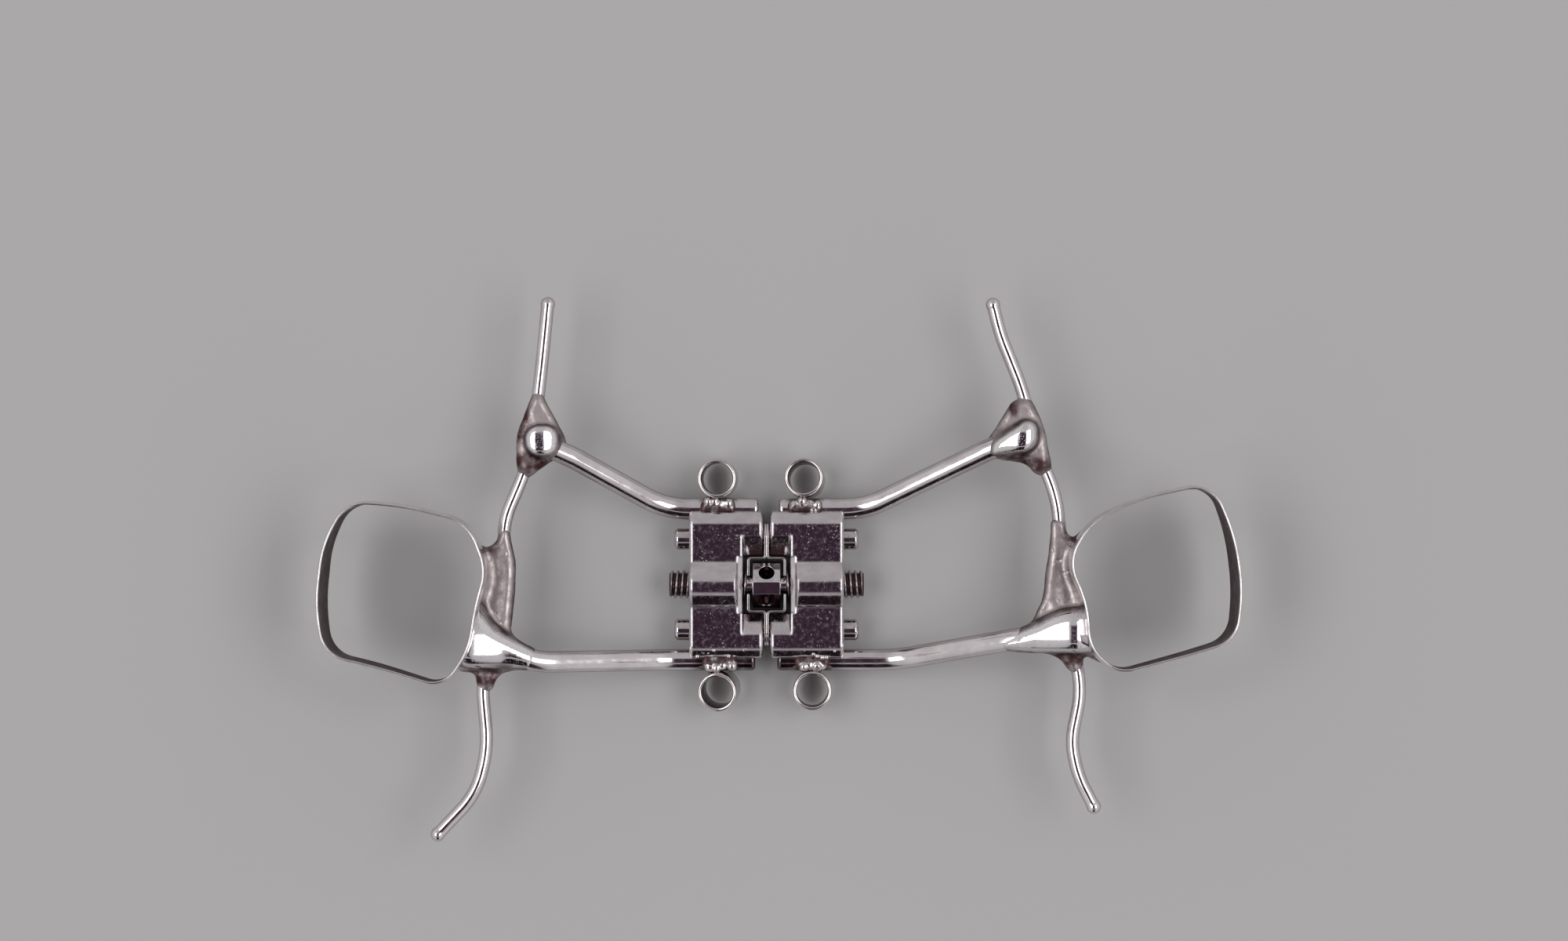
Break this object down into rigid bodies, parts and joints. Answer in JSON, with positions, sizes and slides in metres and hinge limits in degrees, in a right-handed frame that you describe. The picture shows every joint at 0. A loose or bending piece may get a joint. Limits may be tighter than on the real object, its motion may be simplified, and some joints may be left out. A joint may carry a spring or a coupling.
{
  "type": "palatal expander",
  "caption": "Banded palatal expander: a turned screw drives two housings apart, with wire arms soldered to palatal bars and molar bands, and tubes for miniscrews.",
  "frame": {"origin": "centre of the expansion screw's head, where its two key holes cross, on the screw's axis", "axes": "+X along the screw, the way the right half moves as it opens; +Y towards the front of the mouth; +Z away from the palate"},
  "size_m": [0.0635, 0.0377, 0.009],
  "materials": {
    "housing_steel": "milled flats with polished broken edges",
    "clip_steel": "bright spring strip",
    "screw_steel": "turned and threaded",
    "wire_steel": "drawn wire, polished",
    "tube_steel": "polished tube",
    "band_steel": "thin polished strip",
    "solder": "silver solder, satin and pitted",
    "weld_metal": "rough weld bead with bright spots"
  },
  "bodies": {
    "centre": {"front_guide_pin": "screw_steel", "rear_guide_pin": "screw_steel", "left_clip_strip": "clip_steel", "right_clip_strip": "clip_steel"},
    "spindle": {"spindle": "screw_steel"},
    "left_half": {"left_housing": "housing_steel", "left_palatal_bar": "wire_steel", "left_band": "band_steel", "front_left_arm": "wire_steel", "front_left_tube": "tube_steel", "front_left_tube_weld": "weld_metal", "front_left_solder": "solder", "rear_left_arm": "wire_steel", "rear_left_tube": "tube_steel", "rear_left_tube_weld": "weld_metal", "rear_left_solder": "solder"},
    "right_half": {"right_housing": "housing_steel", "right_palatal_bar": "wire_steel", "right_band": "band_steel", "front_right_arm": "wire_steel", "front_right_tube": "tube_steel", "front_right_tube_weld": "weld_metal", "front_right_solder": "solder", "rear_right_arm": "wire_steel", "rear_right_tube": "tube_steel", "rear_right_tube_weld": "weld_metal", "rear_right_solder": "solder"}
  },
  "joints": [
    {"name": "left_half_slide", "type": "slide", "parent": "centre", "child": "left_half", "axis": [-1, 0, 0], "range_m": [0, 0.0035]},
    {"name": "spindle_turn", "type": "hinge", "parent": "centre", "child": "spindle", "pos_m": [0, 0, 0], "axis": [1, 0, 0], "range_deg": [0, 3150]},
    {"name": "right_half_slide", "type": "slide", "parent": "centre", "child": "right_half", "axis": [1, 0, 0], "range_m": [0, 0.0035]}
  ],
  "couplings": [
    {"joint": "spindle_turn", "follows": "left_half_slide", "rad_per_m": 15708},
    {"joint": "right_half_slide", "follows": "left_half_slide", "ratio": 1}
  ]
}
